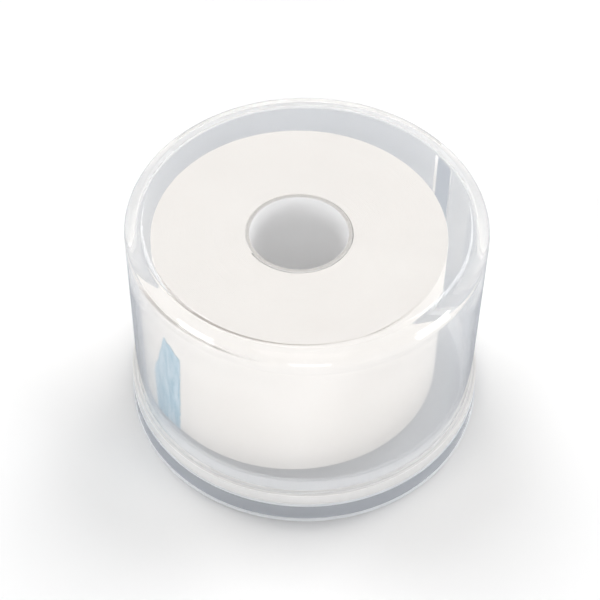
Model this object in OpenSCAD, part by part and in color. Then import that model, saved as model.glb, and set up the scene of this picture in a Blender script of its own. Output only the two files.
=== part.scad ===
// Tape roll in a clear round dispenser: a deep cover with a dispensing slot is
// pushed onto a shallow base, and a roll of soft white tape on a card core
// stands loose inside.
// Millimetres, +Z up. The origin is the centre of the base on the table,
// and the dispensing slot faces +X.

/* [Tape] */
// Width of the tape, which is the height of the roll
tape_w = 50; // [20:0.5:80]
// Thickness of the tape
tape_t = 0.6; // [0.4:0.05:1.2]
// Loops of tape on the roll
turns = 24; // [8:1:24]
// Gap between one loop and the next
turn_gap = 0.45; // [0.42:0.01:0.8]
// Direction in which the loose outer end of the tape lies
tape_end_angle = 171; // [0:1:359]

/* [End tab] */
// Length of the film tab along the tape
tab_len = 12; // [8:0.5:30]
// Height of the tab at its torn peak
tab_peak_h = 36; // [16:0.5:40]
// Height of the tab at the tape's end
tab_end_h = 17; // [6:0.5:36]
// Height of the tab at its inner edge
tab_inner_h = 31.5; // [6:0.5:36]
// Thickness of the film
tab_t = 0.2; // [0.1:0.05:0.5]
// Layer of adhesive under the film
tab_seat = 0.02; // [0.01:0.01:0.1]

/* [Core] */
// Bore of the card core
core_bore = 26.6; // [15:0.1:50]
// Wall of the card core
core_wall = 1.1; // [0.6:0.1:3]
// Gap between the core and the first loop
core_seat = 0.05; // [0.02:0.01:0.2]

/* [Room in the case] */
// Play between a centred roll and the collar
side_room = 5.25; // [3:0.05:12]
// Gap left where the roll has slid against the collar
roll_side_gap = 0.4; // [0.3:0.05:2]
// Direction in which the roll has slid
roll_shift_angle = 80; // [0:1:359]
// Space above the roll
head_room = 9.9; // [5:0.1:25]

/* [Cover] */
// Wall of the cover
cover_wall = 1.1; // [0.7:0.05:2.5]
// Thickness of the closed top
cover_top = 1.2; // [0.8:0.05:3]
// Outer rounding of the top edge
cover_round = 3; // [2.6:0.1:5]
// Inner fillet between the wall and the closed top
cover_fillet = 4; // [1.5:0.1:5]
// Height of the thick rim at the open end
rim_h = 4.5; // [2:0.1:8]
// How far the rim stands out from the wall
rim_lip = 1.35; // [1:0.05:3]

/* [Dispensing slot] */
// Width of the slot
slot_w = 6.8; // [3:0.1:15]
// How far the slot rises past the top of the roll
slot_head = 4.2; // [1:0.1:4.8]
// Side play of the collar's notch behind the slot
notch_play = 0.6; // [0.3:0.1:2]

/* [Base] */
// Height of the base up to the shoulder that carries the cover
base_h = 7.2; // [4:0.1:15]
// How far the base stands out from the cover's wall
base_lip = 1.5; // [1:0.05:4]
// Wall of the base's skirt
skirt_wall = 1.4; // [0.8:0.1:2.5]
// Thickness of the base's floor
floor_t = 1.4; // [0.8:0.1:3]
// Height of the collar above the floor
collar_h = 8.1; // [3:0.1:15]
// Wall of the collar
collar_wall = 1.1; // [0.7:0.05:2]
// Gap between the collar and the cover
fit_gap = 0.3; // [0.2:0.05:0.5]
// Rounding of the outer edges of the rim and the base
edge_round = 0.5; // [0.2:0.05:0.9]

/* [Hidden] */
$fn = 96;

// Colours
CLEAR = [0.86, 0.88, 0.9, 0.3];
CARD = [0.8, 0.78, 0.76];
WHITE_TAPE = [0.96, 0.95, 0.94];
BLUE_FILM = [0.76, 0.84, 0.9];

// How far a cutting shape runs past what it cuts
past = 1;

// The tape is a spiral of half turns on two centres, so every stretch is round
core_r = core_bore / 2 + core_wall;
pitch = tape_t + turn_gap;
centre_shift = pitch / 4;
half_turns = 2 * turns;
first_r = core_r + core_seat + centre_shift;
wound_r = core_r + core_seat + turns * pitch + tape_t;
roll_reach = wound_r + tab_seat + tab_t;

// The case is sized around the roll
collar_in_r = wound_r + side_room;
collar_r = collar_in_r + collar_wall;
cover_in_r = collar_r + fit_gap;
cover_r = cover_in_r + cover_wall;
rim_r = cover_r + rim_lip;
base_r = cover_r + base_lip;
roll_top = base_h + tape_w;
case_h = roll_top + head_room + cover_top;
slot_top = roll_top + slot_head;
collar_top = base_h + collar_h;

// The loose roll rests on the floor, off the middle of the case
roll_shift = collar_in_r - roll_reach - roll_side_gap;
roll_x = roll_shift * cos(roll_shift_angle);
roll_y = roll_shift * sin(roll_shift_angle);

// The tab lies on the outer face of the last half turn
tab_r = half_turn_r(half_turns - 1) + tape_t + tab_seat;
tab_angle = tab_len / tab_r * 180 / PI;
tab_chord = 2 * (tab_r + tab_t) * sin(tab_angle / 2);

// Inner radius of a half turn about its own centre
function half_turn_r(k) = first_r + k * pitch / 2;

// Centre of a half turn along the line that joins the two centres
function half_turn_x(k) = k % 2 == 0 ? -centre_shift : centre_shift;

// Points along the strip, a face being its inner side plus a depth
steps_a_turn = 24;
steps = turns * steps_a_turn;
function step_half(i) = min(floor(2 * i / steps_a_turn), half_turns - 1);
function strip_point(i, depth) =
    let (k = step_half(i))
    let (a = i * 360 / steps_a_turn)
    let (r = half_turn_r(k) + depth)
    [half_turn_x(k) + r * cos(a), r * sin(a)];
function gap_at(i) =
    min([for (j = [-1:1])
        norm(strip_point(i, tape_t) - strip_point(min(i + steps_a_turn + j, steps), 0))]);

least_gap = min([for (i = [0:steps - steps_a_turn]) gap_at(i)]);
tape_length = PI * half_turns * (half_turn_r((half_turns - 1) / 2) + tape_t / 2);
echo(str("Least gap between loops of tape: ", least_gap, " mm"));
echo(str("Length of tape on the roll: ", tape_length / 1000, " m"));

// Section from the axis out to radius r and up to height h, with a round top edge
module domed_section(r, h, edge) {
    square([r - edge, h]);
    square([r, h - edge]);
    translate([r - edge, h - edge]) circle(edge);
}

// Section between two radii and two heights, with both outer corners rounded
module ring_section(r_in, r_out, z_low, z_high, edge) {
    translate([r_in, z_low]) square([r_out - edge - r_in, z_high - z_low]);
    translate([r_in, z_low + edge]) square([r_out - r_in, z_high - z_low - 2 * edge]);
    for (z = [z_low + edge, z_high - edge]) {
        translate([r_out - edge, z]) circle(edge);
    }
}

// Radial cut on the +X side, centred on the slot
module slot_cut(r_from, r_to, width, z_low, z_high) {
    translate([r_from, -width / 2, z_low]) cube([r_to - r_from, width, z_high - z_low]);
}

// Stands a roll piece on the floor, where the loose roll has slid
module place_roll() {
    translate([roll_x, roll_y, base_h]) children();
}

// Turns the winding so that its outer end lies at tape_end_angle, reached clockwise
module wind() {
    rotate([0, 0, tape_end_angle]) mirror([0, 1, 0]) children();
}

module half_turn(k) {
    translate([half_turn_x(k), 0, 0])
        rotate([0, 0, 180 * (k % 2)])
            rotate_extrude(angle = 180)
                translate([half_turn_r(k), 0]) square([tape_t, tape_w]);
}

// Torn outline of the tab, seen square on
module tab_outline() {
    half = tab_chord / 2 + past;
    polygon([[-half, 0], [half, 0], [half, tab_end_h], [0, tab_peak_h], [-half, tab_inner_h]]);
}

// Shallow base: skirt, floor with the cover's shoulder, and a collar that plugs into the cover
module base() {
    color(CLEAR)
    difference() {
        rotate_extrude() {
            difference() {
                ring_section(0, base_r, 0, base_h, edge_round);
                translate([0, -past]) square([base_r - skirt_wall, base_h - floor_t + past]);
            }
            translate([collar_in_r, base_h - floor_t])
                square([collar_wall, floor_t + collar_h - collar_wall / 2]);
            translate([collar_in_r + collar_wall / 2, collar_top - collar_wall / 2])
                circle(collar_wall / 2);
        }
        slot_cut(collar_in_r - past, collar_r + past / 2, slot_w + 2 * notch_play, base_h, collar_top + past);
    }
}

// Deep cover with a closed top, a thick rim and the dispensing slot
module cover() {
    color(CLEAR)
    difference() {
        rotate_extrude() {
            difference() {
                translate([0, base_h]) domed_section(cover_r, case_h - base_h, cover_round);
                translate([0, base_h - past])
                    domed_section(cover_in_r, case_h - cover_top - base_h + past, cover_fillet);
            }
            ring_section(cover_in_r, rim_r, base_h, base_h + rim_h, edge_round);
        }
        slot_cut(cover_in_r - past, rim_r + past, slot_w, base_h - past, slot_top);
    }
}

// Card tube that the tape is wound on
module core() {
    color(CARD)
    place_roll()
    difference() {
        cylinder(h = tape_w, r = core_r);
        translate([0, 0, -past]) cylinder(h = tape_w + 2 * past, d = core_bore);
    }
}

// The tape, one unbroken strip wound out from the core
module tape() {
    color(WHITE_TAPE)
    place_roll()
    wind()
    for (k = [0:half_turns - 1]) {
        half_turn(k);
    }
}

// Film tab with a torn top edge, stuck over the tape's outer end
module end_tab() {
    color(BLUE_FILM)
    place_roll()
    wind()
    translate([half_turn_x(half_turns - 1), 0, 0])
    rotate([0, 0, -tab_angle / 2])
    intersection() {
        rotate([0, 0, -tab_angle / 2])
            rotate_extrude(angle = tab_angle)
                translate([tab_r, 0]) square([tab_t, tab_peak_h]);
        rotate([90, 0, 90]) linear_extrude(tab_r + tab_t + past) tab_outline();
    }
}

base();
cover();
core();
tape();
end_tab();
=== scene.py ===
"""Tape roll in a clear round dispenser case, dressed for a white studio.

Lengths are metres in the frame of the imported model: +Z up, the axis of the case
through the origin, the dispensing slot towards +X.
"""

import logging
import math
from dataclasses import dataclass, field
from enum import Enum
from typing import Any, Callable, Iterable

import bmesh
import bpy
from mathutils import Matrix, Vector, noise


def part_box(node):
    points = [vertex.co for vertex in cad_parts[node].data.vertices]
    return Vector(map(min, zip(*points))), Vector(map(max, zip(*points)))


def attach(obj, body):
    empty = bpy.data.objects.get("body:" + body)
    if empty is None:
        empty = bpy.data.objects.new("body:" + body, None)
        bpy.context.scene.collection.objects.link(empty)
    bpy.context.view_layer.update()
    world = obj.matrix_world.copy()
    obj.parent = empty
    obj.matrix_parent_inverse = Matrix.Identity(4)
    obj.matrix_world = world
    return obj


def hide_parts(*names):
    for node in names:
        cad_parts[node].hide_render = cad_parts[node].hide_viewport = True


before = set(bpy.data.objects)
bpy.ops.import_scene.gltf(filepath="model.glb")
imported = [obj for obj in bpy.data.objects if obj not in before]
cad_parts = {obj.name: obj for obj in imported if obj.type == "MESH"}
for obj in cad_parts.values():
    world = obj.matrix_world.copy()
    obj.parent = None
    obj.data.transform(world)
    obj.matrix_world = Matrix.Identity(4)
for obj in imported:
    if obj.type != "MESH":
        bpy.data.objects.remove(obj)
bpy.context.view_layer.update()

MM = 0.001
FULL_TURN = 2 * math.pi
# Points closer than this are one point
WELD = 1e-7
# Edges that turn more than this many degrees stay sharp
SHARP_EDGE = 40.0
# Names of the numbers that the faces of the plastic are marked with
# The haze number is partly painted light: highlights on the rounded edges and light in the corner
# under the top
HAZE_AND_PAINTED_LIGHT = "haze"
DIM = "dim"
# The cut sides of a slot: how squarely they face it, and how milky they are
CUT_FACING = 0.9
CUT_HAZE = 0.85
# Sockets of a colour Mix node, whose names it shares with other types
MIX_SHARE, MIX_FIRST, MIX_SECOND, MIX_RESULT = 0, 6, 7, 2
LOG = logging.getLogger("tape_roll")

Point = tuple[float, float]
Colour = tuple[float, float, float]
Scale = tuple[float, float, float]


class Body(Enum):
    """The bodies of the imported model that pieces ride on."""

    BASE = "base"
    COVER = "cover"
    ROLL = "roll"


class Finish(Enum):
    """The record's material slots."""

    CLEAR_BASE = "clear_base"
    CLEAR_COVER = "clear_cover"
    CARD = "card"
    TAPE = "tape"
    FILM = "film"


class Ray(Enum):
    """Kinds of ray that a Light Path node tells apart."""

    CAMERA = "Is Camera Ray"
    SHADOW = "Is Shadow Ray"
    DIFFUSE = "Is Diffuse Ray"
    GLOSSY = "Is Glossy Ray"
    TRANSMISSION = "Is Transmission Ray"


class Value:
    """An output socket of a shader graph, which takes part in sums."""

    def __init__(self, graph: "Graph", socket: bpy.types.NodeSocket) -> None:
        """Wraps a socket.

        Args:
            graph: the graph that the socket is in.
            socket: the output to wrap.
        """
        self.graph = graph
        self.socket = socket

    def _math(self, operation: str, first: Any, second: Any) -> "Value":
        """Adds one Math node.

        Args:
            operation: the Math node's operation.
            first: a value or a number.
            second: a value or a number.

        Returns:
            The node's result.
        """
        made = self.graph.node("ShaderNodeMath", {0: first, 1: second}, operation=operation)
        return Value(self.graph, made.outputs[0])

    def __add__(self, other: Any) -> "Value":
        """Sum."""
        return self._math("ADD", self, other)

    __radd__ = __add__

    def __sub__(self, other: Any) -> "Value":
        """Difference."""
        return self._math("SUBTRACT", self, other)

    def __rsub__(self, other: Any) -> "Value":
        """Difference from a number."""
        return self._math("SUBTRACT", other, self)

    def __mul__(self, other: Any) -> "Value":
        """Product."""
        return self._math("MULTIPLY", self, other)

    __rmul__ = __mul__

    def at_most(self, other: Any) -> "Value":
        """The lesser of two values."""
        return self._math("MINIMUM", self, other)

    def at_least(self, other: Any) -> "Value":
        """The greater of two values."""
        return self._math("MAXIMUM", self, other)


class Graph:
    """A node tree that is filled from empty."""

    def __init__(self, tree: bpy.types.NodeTree) -> None:
        """Empties a tree.

        Args:
            tree: the material's or the world's node tree.
        """
        self.tree = tree
        tree.nodes.clear()

    def node(self, kind: str, inputs: dict[Any, Any] | None = None,
             **settings: Any) -> bpy.types.Node:
        """Adds any node.

        Args:
            kind: the node's type.
            inputs: a value or a link for each socket, by name or number.
            settings: the node's own settings, set first; stops fills a colour ramp.

        Returns:
            The new node.
        """
        made = self.tree.nodes.new(kind)
        for name, setting in settings.items():
            if name == "stops":
                self._fill_ramp(made.color_ramp, setting)
            else:
                setattr(made, name, setting)
        for key, given in (inputs or {}).items():
            if isinstance(given, Value):
                self.tree.links.new(given.socket, made.inputs[key])
            else:
                made.inputs[key].default_value = given
        return made

    def value(self, made: bpy.types.Node, output: Any = 0) -> Value:
        """One output of a node, by name or number."""
        return Value(self, made.outputs[output])

    def place(self) -> Value:
        """The point on the piece, in its own coordinates."""
        return self.value(self.node("ShaderNodeTexCoord"), "Object")

    def marked(self, name: str) -> Value:
        """The number that a face is marked with, or 0."""
        return self.value(self.node("ShaderNodeAttribute", attribute_name=name), "Fac")

    def stretched(self, scale: Scale) -> Value:
        """The point on the piece, scaled along each axis."""
        made = self.node("ShaderNodeMapping", {"Vector": self.place(), "Scale": scale})
        return self.value(made)

    def noise(self, where: Value, scale: float, detail: float = 4.0,
              rough: float = 0.55) -> Value:
        """Soft noise from 0 to 1.

        Args:
            where: the point to read.
            scale: blobs to the metre.
            detail: layers of finer noise.
            rough: weight of the finer layers.

        Returns:
            The noise.
        """
        inputs = {"Vector": where, "Scale": scale, "Detail": detail, "Roughness": rough}
        return self.value(self.node("ShaderNodeTexNoise", inputs), 0)

    def ramp(self, factor: Value, stops: list[tuple[float, Colour]]) -> Value:
        """A colour that runs through stops."""
        return self.value(self.node("ShaderNodeValToRGB", {"Fac": factor}, stops=stops), "Color")

    def blend(self, share: Value, first: Value, second: Value) -> Value:
        """Blends two colours.

        Args:
            share: how much of the second.
            first: the colour at 0.
            second: the colour at 1.

        Returns:
            The blend.
        """
        inputs = {MIX_SHARE: share, MIX_FIRST: first, MIX_SECOND: second}
        return self.value(self.node("ShaderNodeMix", inputs, data_type="RGBA"), MIX_RESULT)

    def bump(self, height: Value, depth: float, strength: float = 1.0) -> Value:
        """A surface normal from a height.

        Args:
            height: height from 0 to 1.
            depth: how deep that range is, in metres.
            strength: how much of it shows.

        Returns:
            The normal.
        """
        inputs = {"Height": height, "Distance": depth, "Strength": strength}
        return self.value(self.node("ShaderNodeBump", inputs))

    def rays(self, *kinds: Ray) -> Value:
        """1 for rays of these kinds, otherwise 0."""
        path = self.node("ShaderNodeLightPath")
        total = self.value(path, kinds[0].value)
        for kind in kinds[1:]:
            total = (total + self.value(path, kind.value)).at_most(1.0)
        return total

    def mix(self, share: Any, first: bpy.types.Node, second: bpy.types.Node) -> bpy.types.Node:
        """Blends two shaders.

        Args:
            share: how much of the second, as a value or a number.
            first: the shader at 0.
            second: the shader at 1.

        Returns:
            The blend.
        """
        inputs = {"Fac": share, 1: self.value(first), 2: self.value(second)}
        return self.node("ShaderNodeMixShader", inputs)

    def finish(self, shader: bpy.types.Node, output: str = "ShaderNodeOutputMaterial") -> None:
        """Links the finished shader to the tree's output."""
        self.node(output, {"Surface": self.value(shader)})

    @staticmethod
    def _fill_ramp(ramp: bpy.types.ColorRamp, stops: list[tuple[float, Colour]]) -> None:
        """Sets a ramp's stops, each a place from 0 to 1 and a colour."""
        while len(ramp.elements) < len(stops):
            ramp.elements.new(1.0)
        for element, (place, colour) in zip(ramp.elements, stops):
            element.position = place
            element.color = (*colour, 1.0)


def new_material(name: str) -> tuple[bpy.types.Material, Graph]:
    """An empty material and its graph."""
    made = bpy.data.materials.new(name)
    made.use_nodes = True
    return made, Graph(made.node_tree)


@dataclass(frozen=True)
class ClearPlastic:
    """Clear moulded plastic with a milky haze, scuffs and the faint waves of its mould.

    Shadow rays and diffuse rays pass it as a plain tinted pane, so that what it holds is
    lit. Where a ray is held inside it by total reflection, from the lower guide height upwards, it
    is made milkier: painted light for the light that the wall guides.
    """

    name: str
    shade: Colour = (0.975, 0.977, 0.98)
    dim_shade: Colour = (0.74, 0.75, 0.765)
    tint: Colour = (0.985, 0.99, 0.995)
    haze_colour: Colour = (0.95, 0.94, 0.925)
    haze_within: float = 0.05
    painted_guided_light: float = 0.5
    guide_heights: tuple[float, float] = (52.0 * MM, 58.0 * MM)
    haze_through: float = 0.4
    index: float = 1.5
    least_rough: float = 0.03
    scuff_rough: float = 0.06
    scuffs_to_the_metre: float = 160.0
    scuff_detail: float = 6.0
    scuff_grain: float = 0.65
    waves_to_the_metre: float = 45.0
    wave_depth: float = 0.003 * MM

    def material(self) -> bpy.types.Material:
        """Makes the material: as milky as each face is marked, but less so from within."""
        made, graph = new_material(self.name)
        scuffs = graph.noise(graph.place(), self.scuffs_to_the_metre,
                             self.scuff_detail, self.scuff_grain)
        waves = graph.noise(graph.place(), self.waves_to_the_metre, detail=1.0)
        normal = graph.bump(waves, self.wave_depth)
        clear = graph.node("ShaderNodeBsdfPrincipled", {
            "Base Color": (*self.tint, 1.0),
            "Roughness": self.least_rough + scuffs * scuffs * self.scuff_rough,
            "IOR": self.index,
            "Transmission Weight": 1.0,
            "Normal": normal,
        })
        matte = graph.node("ShaderNodeBsdfDiffuse", {"Color": (*self.haze_colour, 1.0)})
        through = graph.node("ShaderNodeBsdfTranslucent", {"Color": (*self.haze_colour, 1.0)})
        haze = graph.mix(self.haze_through, matte, through)
        within = graph.value(graph.node("ShaderNodeNewGeometry"), "Backfacing")
        # Painted light: milkier where a ray is held in by total reflection near the top, for the
        # light that the wall guides
        kept_in = within * graph.value(graph.node("ShaderNodeFresnel", {"IOR": self.index}), "Fac")
        height = graph.value(graph.node("ShaderNodeSeparateXYZ", {"Vector": graph.place()}), "Z")
        low, high = self.guide_heights
        near_top = ((height - low) * (1.0 / (high - low))).at_least(0.0).at_most(1.0)
        painted_guided_share = near_top * self.painted_guided_light
        # The marked haze, partly painted light, capped when a face is seen from within
        face_milk_and_light = graph.marked(HAZE_AND_PAINTED_LIGHT).at_most(1.0 - within * (1.0 - self.haze_within))
        amount = face_milk_and_light + (1.0 - face_milk_and_light) * kept_in * painted_guided_share
        bright = graph.node("ShaderNodeBsdfTransparent", {"Color": (*self.shade, 1.0)})
        dim = graph.node("ShaderNodeBsdfTransparent", {"Color": (*self.dim_shade, 1.0)})
        light_through = graph.mix(graph.marked(DIM), bright, dim)
        body = graph.mix(amount, clear, haze)
        graph.finish(graph.mix(graph.rays(Ray.SHADOW, Ray.DIFFUSE), body, light_through))
        return made


@dataclass(frozen=True)
class WhiteTape:
    """Soft matte white tape with a fine nap."""

    name: str = "soft_white_tape"
    low: Colour = (0.89, 0.845, 0.80)
    high: Colour = (0.94, 0.90, 0.855)
    stops: tuple[float, float] = (0.3, 0.65)
    rough: float = 0.9
    gloss: float = 0.2
    sheen: float = 0.1
    nap_to_the_metre: float = 1400.0
    nap_detail: float = 3.0
    nap_share: float = 0.4
    nap_depth: float = 0.008 * MM
    nap_strength: float = 0.5
    cloud_to_the_metre: float = 60.0

    def material(self) -> bpy.types.Material:
        """Makes the material."""
        made, graph = new_material(self.name)
        nap = graph.noise(graph.place(), self.nap_to_the_metre, self.nap_detail)
        cloud = graph.noise(graph.place(), self.cloud_to_the_metre)
        mottle = cloud * (1.0 - self.nap_share) + nap * self.nap_share
        tape = graph.node("ShaderNodeBsdfPrincipled", {
            "Base Color": graph.ramp(mottle, list(zip(self.stops, (self.low, self.high)))),
            "Roughness": self.rough,
            "Specular IOR Level": self.gloss,
            "Sheen Weight": self.sheen,
            "Normal": graph.bump(nap, self.nap_depth, self.nap_strength),
        })
        graph.finish(tape)
        return made


@dataclass(frozen=True)
class PaleCard:
    """Wound card: grey plies at its ends and a white lining on its faces."""

    name: str = "pale_card"
    ply_low: Colour = (0.46, 0.43, 0.40)
    ply_high: Colour = (0.60, 0.57, 0.545)
    lining_low: Colour = (0.93, 0.925, 0.925)
    lining_high: Colour = (0.97, 0.965, 0.965)
    stops: tuple[float, float] = (0.3, 0.7)
    rough: float = 0.85
    gloss: float = 0.25
    fibre_scale: Scale = (900.0, 900.0, 2600.0)
    fibre_detail: float = 5.0
    fibre_depth: float = 0.03 * MM
    fibre_strength: float = 0.6

    def material(self) -> bpy.types.Material:
        """Makes the material."""
        made, graph = new_material(self.name)
        fibres = graph.noise(graph.stretched(self.fibre_scale), 1.0, self.fibre_detail)
        plies = graph.ramp(fibres, list(zip(self.stops, (self.ply_low, self.ply_high))))
        lining = graph.ramp(fibres, list(zip(self.stops, (self.lining_low, self.lining_high))))
        normal = graph.value(graph.node("ShaderNodeNewGeometry"), "Normal")
        upright = graph.value(graph.node("ShaderNodeSeparateXYZ", {"Vector": normal}), "Z")
        card = graph.node("ShaderNodeBsdfPrincipled", {
            "Base Color": graph.blend(upright * upright, lining, plies),
            "Roughness": self.rough,
            "Specular IOR Level": self.gloss,
            "Normal": graph.bump(fibres, self.fibre_depth, self.fibre_strength),
        })
        graph.finish(card)
        return made


@dataclass(frozen=True)
class BlueFilm:
    """Thin pale-blue film, streaked along its height."""

    name: str = "pale_blue_film"
    low: Colour = (0.255, 0.47, 0.605)
    high: Colour = (0.535, 0.705, 0.815)
    stops: tuple[float, float] = (0.38, 0.66)
    rough: float = 0.4
    streak_scale: Scale = (700.0, 700.0, 130.0)
    streak_depth: float = 0.02 * MM
    streak_strength: float = 0.4

    def material(self) -> bpy.types.Material:
        """Makes the material."""
        made, graph = new_material(self.name)
        streaks = graph.noise(graph.stretched(self.streak_scale), 1.0)
        film = graph.node("ShaderNodeBsdfPrincipled", {
            "Base Color": graph.ramp(streaks, list(zip(self.stops, (self.low, self.high)))),
            "Roughness": self.rough,
            "Normal": graph.bump(streaks, self.streak_depth, self.streak_strength),
        })
        graph.finish(film)
        return made


@dataclass
class Outline:
    """Points of a turned piece's section, each a radius and a height."""

    points: list[Point] = field(default_factory=list)
    support: float = 0.2 * MM
    supports_a_run: int = 4
    arc_steps: int = 8

    def to(self, radius: float, height: float) -> "Outline":
        """Adds a straight stretch, held flat by a point near each of its ends.

        Args:
            radius: radius at the stretch's end.
            height: height at the stretch's end.

        Returns:
            The outline, so that calls can follow each other.
        """
        if self.points:
            start = Vector(self.points[-1])
            run = Vector((radius, height)) - start
            if run.length > self.supports_a_run * self.support:
                near = run.normalized() * self.support
                self.points.append(tuple(start + near))
                self.points.append(tuple(start + run - near))
        self.points.append((radius, height))
        return self

    def arc(self, centre: Point, radius: float, start: float, stop: float) -> "Outline":
        """Adds a round stretch.

        Args:
            centre: radius and height of the arc's centre.
            radius: the arc's own radius.
            start: angle of its first point in degrees, from straight out.
            stop: angle of its last point in degrees.

        Returns:
            The outline, so that calls can follow each other.
        """
        for step in range(self.arc_steps + 1):
            angle = math.radians(start + (stop - start) * step / self.arc_steps)
            point = (centre[0] + radius * math.cos(angle), centre[1] + radius * math.sin(angle))
            if step == 0:
                self.to(*point)
            else:
                self.points.append(point)
        return self


def spin_outline(bm: bmesh.types.BMesh, points: list[Point], start: float, angle: float,
                 steps: int) -> None:
    """Turns a section about the case's axis.

    Args:
        bm: the mesh to add to.
        points: the section, as radius and height.
        start: angle at which the section starts, in radians.
        angle: how far it turns, in radians.
        steps: faces along the turn.
    """
    verts = [bm.verts.new((r * math.cos(start), r * math.sin(start), z)) for r, z in points]
    edges = [bm.edges.new(pair) for pair in zip(verts, verts[1:])]
    bmesh.ops.spin(bm, geom=verts + edges, cent=(0, 0, 0), axis=(0, 0, 1), dvec=(0, 0, 0),
                   angle=angle, steps=steps, use_merge=False, use_duplicate=False)


def close_shell(bm: bmesh.types.BMesh) -> None:
    """Welds the seams of a shell, fills its cut ends and turns its faces outwards."""
    bmesh.ops.remove_doubles(bm, verts=bm.verts[:], dist=WELD)
    bmesh.ops.dissolve_degenerate(bm, edges=bm.edges[:], dist=WELD)
    open_edges = [edge for edge in bm.edges if edge.is_boundary]
    if open_edges:
        bmesh.ops.holes_fill(bm, edges=open_edges, sides=0)
    bmesh.ops.recalc_face_normals(bm, faces=bm.faces[:])


@dataclass(frozen=True)
class Spot:
    """Where a face lies on a turned shell, and whether it looks in or down."""

    radius: float
    height: float
    inward: bool


def mark_faces(bm: bmesh.types.BMesh, name: str, value_at: Callable[[Spot], float]) -> None:
    """Gives each face of a shell a number that its finish reads.

    Args:
        bm: the shell, with its faces turned outwards.
        name: the number's name.
        value_at: gives the number from a face's spot.
    """
    layer = bm.faces.layers.float.new(name)
    for face in bm.faces:
        middle = face.calc_center_median()
        radius = middle.xy.length
        out = middle.xy.dot(face.normal.xy) / max(radius, WELD)
        face[layer] = value_at(Spot(radius, middle.z, out + face.normal.z < 0))


def mark_cuts(bm: bmesh.types.BMesh, half_width: float) -> None:
    """Makes the cut sides of a slot milky.

    Args:
        bm: the shell, whose haze is marked.
        half_width: half the width of its slot.
    """
    layer = bm.faces.layers.float[HAZE_AND_PAINTED_LIGHT]
    for face in bm.faces:
        middle = face.calc_center_median()
        if abs(face.normal.y) > CUT_FACING and abs(middle.y) < half_width + WELD and middle.x > 0:
            face[layer] = CUT_HAZE


def piece_from(bm: bmesh.types.BMesh, name: str, material: bpy.types.Material,
               sharp: float = SHARP_EDGE) -> bpy.types.Object:
    """Makes an object of a finished mesh.

    Args:
        bm: the mesh, which is freed.
        name: the piece's name.
        material: its finish.
        sharp: edges that turn more than this many degrees stay sharp.

    Returns:
        The object, at the origin.
    """
    mesh = bpy.data.meshes.new(name)
    bm.to_mesh(mesh)
    bm.free()
    mesh.materials.append(material)
    mesh.shade_smooth()
    mesh.set_sharp_from_angle(angle=math.radians(sharp))
    made = bpy.data.objects.new(name, mesh)
    bpy.context.scene.collection.objects.link(made)
    return made


def hand_over(piece: bpy.types.Object, body: Body, node: str) -> None:
    """Puts a piece in the place of a CAD node.

    Args:
        piece: the finished object.
        body: the body that carries it.
        node: the CAD node that it stands for.
    """
    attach(piece, body.value)
    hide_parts(node)
    LOG.info("%s stands for %s: %d faces", piece.name, node, len(piece.data.polygons))


@dataclass
class Case:
    """Sizes that the cover and the base share."""

    base_h: float = 7.2 * MM
    top: float = 68.3 * MM
    cover_r: float = 48.0 * MM
    slot_w: float = 6.8 * MM
    slot_top: float = 61.4 * MM
    edge: float = 0.5 * MM
    lead_in: float = 0.3 * MM
    # Milk on the rounded edges of the rim, shoulder and foot: painted highlight, bright lines along
    # them
    painted_edge_highlight: float = 0.95
    steps: int = 248
    slot_steps: int = 6

    @staticmethod
    def half_slot(radius: float, width: float) -> float:
        """Half the angle that a slot of this width takes up at a radius, in radians."""
        return math.asin(width / 2 / radius)


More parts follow.
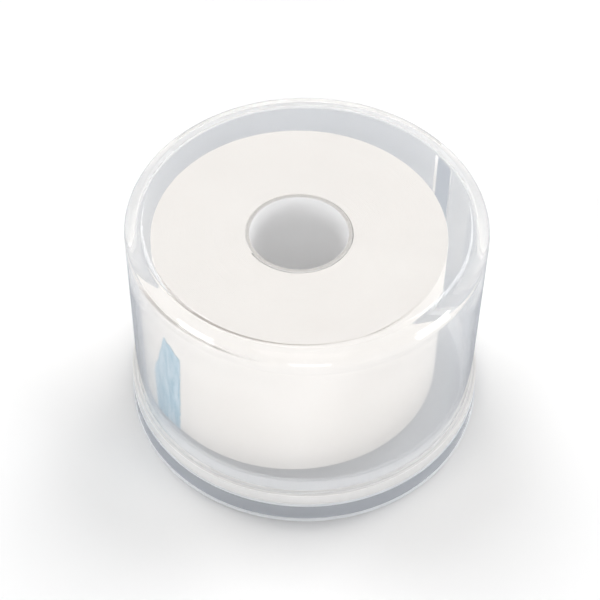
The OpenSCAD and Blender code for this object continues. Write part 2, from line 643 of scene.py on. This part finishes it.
@dataclass
class Cover:
    """Deep clear cover with its dispensing slot."""

    case: Case
    wall: float = 1.1 * MM
    top_t: float = 1.2 * MM
    round_r: float = 3.0 * MM
    fillet_r: float = 4.0 * MM
    rim_r: float = 49.35 * MM
    rim_h: float = 4.5 * MM
    top_haze: float = 0.08
    wall_haze: float = 0.17
    # The corner under the top is milkier than the wall: partly the thick corner's own haze, partly
    # painted light, a soft highlight along the outer rounding and on the inner fillet the pale band
    # of light gathered in the corner
    round_haze_and_painted_highlight: float = 0.22
    fillet_haze_and_painted_light: float = 0.4
    rim_haze: float = 0.7

    def outlines(self) -> tuple[Outline, Outline, Outline]:
        """Sections outside above the slot's top, below it, and inside above it."""
        case = self.case
        out_r, in_r = case.cover_r, case.cover_r - self.wall
        ceiling = case.top - self.top_t
        foot, rim_top = case.base_h, case.base_h + self.rim_h
        outside = Outline().to(0, case.top)
        outside.arc((out_r - self.round_r, case.top - self.round_r), self.round_r, 90, 0)
        outside.to(out_r, case.slot_top)
        below = Outline().to(out_r, case.slot_top)
        below.arc((out_r + case.edge, rim_top + case.edge), case.edge, 180, 270)
        below.arc((self.rim_r - case.edge, rim_top - case.edge), case.edge, 90, 0)
        below.arc((self.rim_r - case.edge, foot + case.edge), case.edge, 0, -90)
        below.arc((in_r + case.lead_in, foot + case.lead_in), case.lead_in, 270, 180)
        below.to(in_r, case.slot_top)
        inside = Outline().to(in_r, case.slot_top)
        inside.arc((in_r - self.fillet_r, ceiling - self.fillet_r), self.fillet_r, 0, 90)
        inside.to(0, ceiling)
        return outside, below, inside

    def milk_and_painted_light_at(self, spot: Spot) -> float:
        """Haze of a face: most on the rim's edges, least on the flat top. On the rim's edges it is
        painted highlight, and in the corner under the top partly painted light.
        """
        case = self.case
        if spot.radius > case.cover_r + WELD:
            low, high = case.base_h + case.edge, case.base_h + self.rim_h - case.edge
            on_edge = spot.radius > self.rim_r - case.edge and not low < spot.height < high
            return case.painted_edge_highlight if on_edge else self.rim_haze
        if spot.height < case.top - self.top_t - self.fillet_r:
            return self.wall_haze
        if spot.radius < case.cover_r - self.wall - self.fillet_r:
            return self.top_haze
        return self.fillet_haze_and_painted_light if spot.inward else self.round_haze_and_painted_highlight

    def build(self, material: bpy.types.Material) -> bpy.types.Object:
        """Turns the cover, leaving the slot open down to the rim.

        Args:
            material: the clear plastic.

        Returns:
            The cover.
        """
        case = self.case
        outside, below, inside = self.outlines()
        half = case.half_slot(case.cover_r, case.slot_w)
        over_slot = [(case.cover_r, case.slot_top), (case.cover_r - self.wall, case.slot_top)]
        bm = bmesh.new()
        for outline in (outside, below, inside):
            spin_outline(bm, outline.points, half, FULL_TURN - 2 * half, case.steps)
        for points in (outside.points, inside.points, over_slot):
            spin_outline(bm, points, -half, 2 * half, case.slot_steps)
        close_shell(bm)
        mark_faces(bm, HAZE_AND_PAINTED_LIGHT, self.milk_and_painted_light_at)
        mark_cuts(bm, case.slot_w / 2)
        return piece_from(bm, "cover_shell", material)


@dataclass
class Base:
    """Shallow clear base: skirt, floor, shoulder and notched collar."""

    case: Case
    outer_r: float = 49.5 * MM
    skirt_wall: float = 1.4 * MM
    bead: float = 0.4 * MM
    foot_h: float = 1.1 * MM
    floor_t: float = 1.4 * MM
    collar_r: float = 46.6 * MM
    collar_wall: float = 1.1 * MM
    collar_h: float = 8.1 * MM
    notch_play: float = 0.6 * MM
    skirt_haze: float = 0.3
    floor_haze: float = 0.7
    collar_haze: float = 0.65

    def outlines(self) -> tuple[Outline, Outline, Outline]:
        """Sections up to the collar's foot, of the collar, and of the floor inside it."""
        case = self.case
        under = case.base_h - self.floor_t
        skirt_in = self.outer_r - self.skirt_wall
        collar_in = self.collar_r - self.collar_wall
        half_wall = self.collar_wall / 2
        crown = case.base_h + self.collar_h - half_wall
        skirt = Outline().to(0, under)
        skirt.arc((skirt_in - case.edge, under - case.edge), case.edge, 90, 0)
        skirt.arc((skirt_in + case.lead_in, case.lead_in), case.lead_in, 180, 270)
        skirt.arc((self.outer_r + self.bead - case.edge, case.edge), case.edge, 270, 420)
        skirt.to(self.outer_r, self.foot_h)
        skirt.arc((self.outer_r - case.edge, case.base_h - case.edge), case.edge, 0, 90)
        skirt.to(self.collar_r, case.base_h)
        collar = Outline().to(self.collar_r, case.base_h)
        collar.arc((self.collar_r - half_wall, crown), half_wall, 0, 180)
        collar.to(collar_in, case.base_h)
        floor = Outline().to(collar_in, case.base_h).to(0, case.base_h)
        return skirt, collar, floor

    def milk_and_painted_light_at(self, spot: Spot) -> float:
        """Haze of a face: most on the skirt's edges, where it is painted highlight, least on the
        skirt between them.
        """
        case = self.case
        if spot.height > case.base_h + WELD:
            return self.collar_haze
        if spot.radius < self.outer_r - self.skirt_wall - WELD:
            return self.floor_haze
        on_wall = self.foot_h < spot.height < case.base_h - case.edge
        return self.skirt_haze if on_wall else case.painted_edge_highlight

    def dim_at(self, spot: Spot) -> float:
        """How much of its light a face keeps back: all but the collar's do."""
        return float(spot.height < self.case.base_h + WELD)

    def build(self, material: bpy.types.Material) -> bpy.types.Object:
        """Turns the base, leaving the notch in its collar open.

        Args:
            material: the clear plastic.

        Returns:
            The base.
        """
        case = self.case
        skirt, collar, floor = self.outlines()
        half = case.half_slot(self.collar_r, case.slot_w + 2 * self.notch_play)
        collar_in = self.collar_r - self.collar_wall
        notch_floor = [(self.collar_r, case.base_h), (collar_in, case.base_h)]
        bm = bmesh.new()
        for outline in (skirt, collar, floor):
            spin_outline(bm, outline.points, half, FULL_TURN - 2 * half, case.steps)
        for points in (skirt.points, notch_floor, floor.points):
            spin_outline(bm, points, -half, 2 * half, case.slot_steps)
        close_shell(bm)
        mark_faces(bm, HAZE_AND_PAINTED_LIGHT, self.milk_and_painted_light_at)
        mark_faces(bm, DIM, self.dim_at)
        mark_cuts(bm, case.slot_w / 2 + self.notch_play)
        return piece_from(bm, "base_shell", material)


def unit(angle: float) -> Vector:
    """The level direction at an angle in radians."""
    return Vector((math.cos(angle), math.sin(angle), 0))


@dataclass(frozen=True)
class Bend:
    """A round stretch of tape: its centre, its turn in radians and its faces."""

    centre: Vector
    turn: float
    steps: int


@dataclass
class Roll:
    """Card core, wound tape with its loose end, and the film tab on that end."""

    wound_r: float = 40.25 * MM
    bore_r: float = 13.3 * MM
    card_edge: float = 0.25 * MM
    card_arc_steps: int = 3
    end_angle: float = 163.0
    turns: int = 60
    core_gap: float = 0.05 * MM
    turn_gap: float = 0.02 * MM
    tape_edge: float = 0.03 * MM
    steps_a_half_turn: int = 60
    tape_sharp: float = 30.0
    uneven: float = 0.08 * MM
    uneven_to_the_metre: float = 150.0
    uneven_across: float = 8.0
    slack: float = 1.5 * MM
    slack_turn: float = 110.0
    tip_r: float = 70.0 * MM
    tip_len: float = 20.0 * MM
    tip_steps: int = 24
    tab_inset: float = 6.0 * MM
    tab_len: float = 12.0 * MM
    tab_t: float = 0.12 * MM
    tab_seat: float = 0.03 * MM
    tab_peak_h: float = 36.0 * MM
    tab_end_h: float = 17.0 * MM
    tab_inner_h: float = 31.5 * MM
    tab_lean: float = 1.8 * MM
    tab_rows: int = 30
    tear: float = 1.6 * MM
    ragged: float = 0.9 * MM
    tear_to_the_metre: float = 640.0

    def __post_init__(self) -> None:
        """Takes the core's place and size from the frame."""
        low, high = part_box("core")
        self.place = Vector(((low.x + high.x) / 2, (low.y + high.y) / 2, low.z))
        self.core_r = (high.x - low.x) / 2
        self.height = high.z - low.z
        first = self.core_r + self.core_gap
        self.pitch = (self.wound_r - first) / (self.turns + 1)
        self.tape_t = self.pitch - self.turn_gap
        self.first_r = first

    def bends(self) -> list[Bend]:
        """The stretches of the strip, wound anticlockwise from the core to its loose tip."""
        shift = self.pitch / 4
        centres = [Vector((-shift, 0, 0)), Vector((shift, 0, 0))]
        halves = 2 * self.turns
        wound = [Bend(centres[k % 2], math.pi, self.steps_a_half_turn) for k in range(halves - 1)]
        last_r = self.first_r + shift + (halves - 1) * self.pitch / 2
        slack_turn = math.radians(self.slack_turn)
        tip_turn = self.tip_len / self.tip_r
        tight = Bend(centres[1], math.pi - slack_turn - tip_turn, self.steps_a_half_turn)
        loose_centre = centres[1] - unit(-slack_turn - tip_turn) * self.slack
        loose = Bend(loose_centre, slack_turn, self.steps_a_half_turn)
        tip_centre = loose_centre + unit(-tip_turn) * (last_r + self.slack - self.tip_r)
        return [*wound, tight, loose, Bend(tip_centre, tip_turn, self.tip_steps)]

    def settle(self, bm: bmesh.types.BMesh) -> None:
        """Turns a wound piece clockwise, its tip to its angle, and stands it in the case."""
        tip = self.bends()[-1].centre + unit(0.0) * self.tip_r
        turn = Matrix.Rotation(math.radians(self.end_angle) + math.atan2(tip.y, tip.x), 4, "Z")
        flip = Matrix.Diagonal((1, -1, 1, 1))
        stand = Matrix.Translation(self.place)
        bmesh.ops.transform(bm, matrix=stand @ turn @ flip, verts=bm.verts[:])
        bmesh.ops.recalc_face_normals(bm, faces=bm.faces[:])

    def section(self) -> list[Vector]:
        """Corners of the strip's section at the core, with its edges taken off."""
        low_r, high_r = self.first_r, self.first_r + self.tape_t
        edge, top = self.tape_edge, self.height
        corners = [(low_r + edge, 0), (high_r - edge, 0), (high_r, edge), (high_r, top - edge),
                   (high_r - edge, top), (low_r + edge, top), (low_r, top - edge), (low_r, edge)]
        return [Vector((r, 0, z)) for r, z in corners]

    def build_tape(self, material: bpy.types.Material) -> bpy.types.Object:
        """Winds the tape as one strip, whose loose end stands off the roll.

        Args:
            material: the tape's finish.

        Returns:
            The tape.
        """
        strip = bmesh.new()
        corners = self.section()
        stretch = bpy.data.meshes.new("stretch")
        for bend in self.bends():
            bm = bmesh.new()
            verts = [bm.verts.new(corner) for corner in corners]
            edges = [bm.edges.new(pair) for pair in zip(verts, verts[1:] + verts[:1])]
            bmesh.ops.spin(bm, geom=verts + edges, cent=bend.centre, axis=(0, 0, 1),
                           dvec=(0, 0, 0), angle=bend.turn, steps=bend.steps,
                           use_merge=False, use_duplicate=False)
            bm.to_mesh(stretch)
            bm.free()
            strip.from_mesh(stretch)
            turn = Matrix.Rotation(bend.turn, 3, "Z")
            corners = [bend.centre + turn @ (corner - bend.centre) for corner in corners]
        bpy.data.meshes.remove(stretch)
        close_shell(strip)
        for vert in strip.verts:
            if vert.co.z > self.height / 2:
                radius = vert.co.xy.length
                where = Vector((vert.co.x, vert.co.y, self.uneven_across * radius))
                dip = 0.5 + 0.5 * noise.noise(where * self.uneven_to_the_metre)
                vert.co.z -= self.uneven * dip
        self.settle(strip)
        return piece_from(strip, "wound_tape", material, self.tape_sharp)

    def tab_height(self, along: float) -> float:
        """Height of the torn film.

        Args:
            along: distance from the film's side that is nearest the tape's tip.

        Returns:
            The height of its torn edge there.
        """
        share = along / self.tab_len
        if share < 0.5:
            clean = self.tab_end_h + (self.tab_peak_h - self.tab_end_h) * 2 * share
        else:
            clean = self.tab_peak_h + (self.tab_inner_h - self.tab_peak_h) * (2 * share - 1)
        return clean + self.tear * noise.noise(Vector((along * self.tear_to_the_metre, 0, 0)))

    def build_tab(self, material: bpy.types.Material) -> bpy.types.Object:
        """Lays the film on the tape's loose end, a little back from its tip.

        Args:
            material: the film's finish.

        Returns:
            The tab.
        """
        tip = self.bends()[-1]
        outer_r = self.tip_r + self.tape_t + self.tab_seat
        bm = bmesh.new()
        heights = [self.height * row / self.tab_rows for row in range(self.tab_rows + 1)]
        inset = Matrix.Rotation(-self.tab_inset / outer_r, 3, "Z")
        column = [bm.verts.new(tip.centre + inset @ Vector((outer_r, 0, z))) for z in heights]
        geom = column + [bm.edges.new(pair) for pair in zip(column, column[1:])]
        columns = [(0.0, column)]
        for step in range(1, tip.steps + 1):
            spun = bmesh.ops.spin(bm, geom=geom, cent=tip.centre, axis=(0, 0, 1), dvec=(0, 0, 0),
                                  angle=-self.tab_len / outer_r / tip.steps, steps=1,
                                  use_merge=False, use_duplicate=False)
            geom = spun["geom_last"]
            verts = [item for item in geom if isinstance(item, bmesh.types.BMVert)]
            columns.append((self.tab_len * step / tip.steps, verts))
        for along, verts in columns:
            share = self.tab_height(along) / self.height
            for vert in verts:
                where = Vector((0, 1, vert.co.z * self.tear_to_the_metre))
                ragged = self.ragged * noise.noise(where)
                lean = self.tab_lean * (1 - vert.co.z / self.height) + ragged
                lean = lean * along / self.tab_len
                turn = Matrix.Rotation(lean / outer_r, 3, "Z")
                vert.co = tip.centre + turn @ (vert.co - tip.centre)
                vert.co.z *= share
        raised = bmesh.ops.extrude_face_region(bm, geom=bm.faces[:], use_keep_orig=True)
        for item in raised["geom"]:
            if isinstance(item, bmesh.types.BMVert):
                out = (item.co - tip.centre) * Vector((1, 1, 0))
                item.co += out.normalized() * self.tab_t
        bmesh.ops.recalc_face_normals(bm, faces=bm.faces[:])
        self.settle(bm)
        return piece_from(bm, "torn_film_tab", material)

    def build_core(self, material: bpy.types.Material) -> bpy.types.Object:
        """Turns the card core.

        Args:
            material: the card.

        Returns:
            The core.
        """
        edge, top = self.card_edge, self.height
        loop = Outline(arc_steps=self.card_arc_steps)
        loop.arc((self.core_r - edge, edge), edge, -90, 0)
        loop.arc((self.core_r - edge, top - edge), edge, 0, 90)
        loop.arc((self.bore_r + edge, top - edge), edge, 90, 180)
        loop.arc((self.bore_r + edge, edge), edge, 180, 270)
        loop.to(*loop.points[0])
        bm = bmesh.new()
        spin_outline(bm, loop.points, 0.0, FULL_TURN, 2 * self.steps_a_half_turn)
        close_shell(bm)
        bmesh.ops.translate(bm, vec=self.place, verts=bm.verts[:])
        return piece_from(bm, "card_core", material)


@dataclass(frozen=True)
class SoftBox:
    """A square lamp that looks at the object: angles in degrees, watts and metres."""

    name: str
    bearing: float
    rise: float
    power: float
    size: float
    away: float = 4.0
    glints: bool = False

    def add(self) -> None:
        """Hangs the lamp."""
        data = bpy.data.lights.new(self.name, "AREA")
        data.energy = self.power
        data.size = self.size
        lamp = bpy.data.objects.new(self.name, data)
        lamp.visible_glossy = self.glints
        rise = math.radians(self.rise)
        towards = unit(math.radians(self.bearing)) * math.cos(rise) + Vector((0, 0, math.sin(rise)))
        lamp.location = towards * self.away
        lamp.rotation_euler = (-towards).to_track_quat("-Z", "Y").to_euler()
        bpy.context.scene.collection.objects.link(lamp)


@dataclass
class Studio:
    """White floor, soft light and the camera at the photograph's viewing angle."""

    camera_at: tuple[float, float, float] = (-180.87 * MM, -239.20 * MM, 377.50 * MM)
    heading: float = -36.8
    dip: float = 48.80
    tilt: float = 0.911
    lens_mm: float = 98.56
    sensor_mm: float = 36.0
    clip_start: float = 10.0 * MM
    floor_size: float = 6.0
    floor_drop: float = 0.05 * MM
    floor_colour: Colour = (0.97, 0.97, 0.97)
    floor_rough: float = 0.3
    floor_gloss: float = 0.3
    # Painted shade: the darker blue-grey that glossy and transmission rays see on the floor, in and
    # through the plastic
    floor_painted_shade: Colour = (0.37, 0.405, 0.46)
    painted_shade_share: float = 0.3
    sky_low: float = 0.06
    sky_high: float = 0.14
    lamps: tuple[SoftBox, ...] = (
        SoftBox("high_lamp", bearing=233.0, rise=54.0, power=18.0, size=3.0, glints=True),
        SoftBox("back_left_lamp", bearing=97.0, rise=48.0, power=78.0, size=2.0),
        SoftBox("back_right_lamp", bearing=9.0, rise=48.0, power=78.0, size=2.0),
        SoftBox("left_lamp", bearing=172.0, rise=12.0, power=58.0, size=1.5, glints=True),
        SoftBox("front_lamp", bearing=236.0, rise=12.0, power=47.0, size=1.5),
        SoftBox("right_lamp", bearing=306.0, rise=12.0, power=59.0, size=1.5, glints=True),
    )

    def add_camera(self) -> None:
        """Sets the camera, aimed by its heading, dip and tilt in degrees."""
        data = bpy.data.cameras.new("photo_camera")
        data.lens = self.lens_mm
        data.sensor_width = self.sensor_mm
        data.clip_start = self.clip_start
        camera = bpy.data.objects.new("photo_camera", data)
        turn = Matrix.Rotation(math.radians(self.heading), 4, "Z")
        dip = Matrix.Rotation(math.radians(90 - self.dip), 4, "X")
        tilt = Matrix.Rotation(math.radians(self.tilt), 4, "Z")
        camera.matrix_world = Matrix.Translation(self.camera_at) @ turn @ dip @ tilt
        bpy.context.scene.collection.objects.link(camera)
        bpy.context.scene.camera = camera

    def add_floor(self) -> None:
        """Lays a pale floor that keeps the object's shadow; glossy and transmission rays see it as
        a darker blue-grey, which is painted shade.
        """
        made, graph = new_material("studio_floor")
        seen = graph.rays(Ray.CAMERA, Ray.DIFFUSE)
        inside = graph.rays(Ray.GLOSSY, Ray.TRANSMISSION)
        share = (seen + inside * self.painted_shade_share).at_most(1.0)
        # Glossy and transmission rays get the painted shade; the camera and diffuse rays get the
        # pale floor
        stops = [(self.painted_shade_share, self.floor_painted_shade), (1.0, self.floor_colour)]
        paper = graph.node("ShaderNodeBsdfPrincipled", {
            "Base Color": graph.ramp(share, stops),
            "Roughness": self.floor_rough,
            "Specular IOR Level": self.floor_gloss,
        })
        graph.finish(paper)
        bm = bmesh.new()
        bmesh.ops.create_grid(bm, x_segments=1, y_segments=1, size=self.floor_size / 2)
        bmesh.ops.translate(bm, vec=(0, 0, -self.floor_drop), verts=bm.verts[:])
        piece_from(bm, "studio_floor", made)

    def add_light(self) -> None:
        """Sets a sky that is brighter overhead, and the soft lamps."""
        world = bpy.data.worlds.new("studio_sky")
        world.use_nodes = True
        graph = Graph(world.node_tree)
        way = graph.value(graph.node("ShaderNodeTexCoord"), "Generated")
        up = graph.value(graph.node("ShaderNodeSeparateXYZ", {"Vector": way}), "Z")
        light = up.at_least(0.0) * (self.sky_high - self.sky_low) + self.sky_low
        seen = graph.rays(Ray.CAMERA, Ray.GLOSSY, Ray.TRANSMISSION)
        strength = seen + (1.0 - seen) * light
        sky = graph.node("ShaderNodeBackground", {"Color": (1, 1, 1, 1), "Strength": strength})
        graph.finish(sky, "ShaderNodeOutputWorld")
        bpy.context.scene.world = world
        for lamp in self.lamps:
            lamp.add()

    def build(self) -> None:
        """Sets up the whole studio."""
        self.add_camera()
        self.add_floor()
        self.add_light()
        bpy.context.scene.view_settings.view_transform = "Standard"


def main() -> None:
    """Builds every piece and the studio, and logs how many faces each piece has."""
    logging.basicConfig(level=logging.INFO, format="%(name)s: %(message)s")
    case = Case()
    roll = Roll()
    Studio().build()
    base_plastic = ClearPlastic("clear_base_plastic", haze_colour=(0.93, 0.945, 0.97))
    cover_plastic = ClearPlastic("clear_cover_plastic")
    hand_over(Base(case).build(base_plastic.material()), Body.BASE, "base")
    hand_over(Cover(case).build(cover_plastic.material()),
              Body.COVER, "cover")
    hand_over(roll.build_core(PaleCard().material()), Body.ROLL, "core")
    hand_over(roll.build_tape(WhiteTape().material()), Body.ROLL, "tape")
    hand_over(roll.build_tab(BlueFilm().material()), Body.ROLL, "end_tab")


if __name__ == "__main__":
    main()
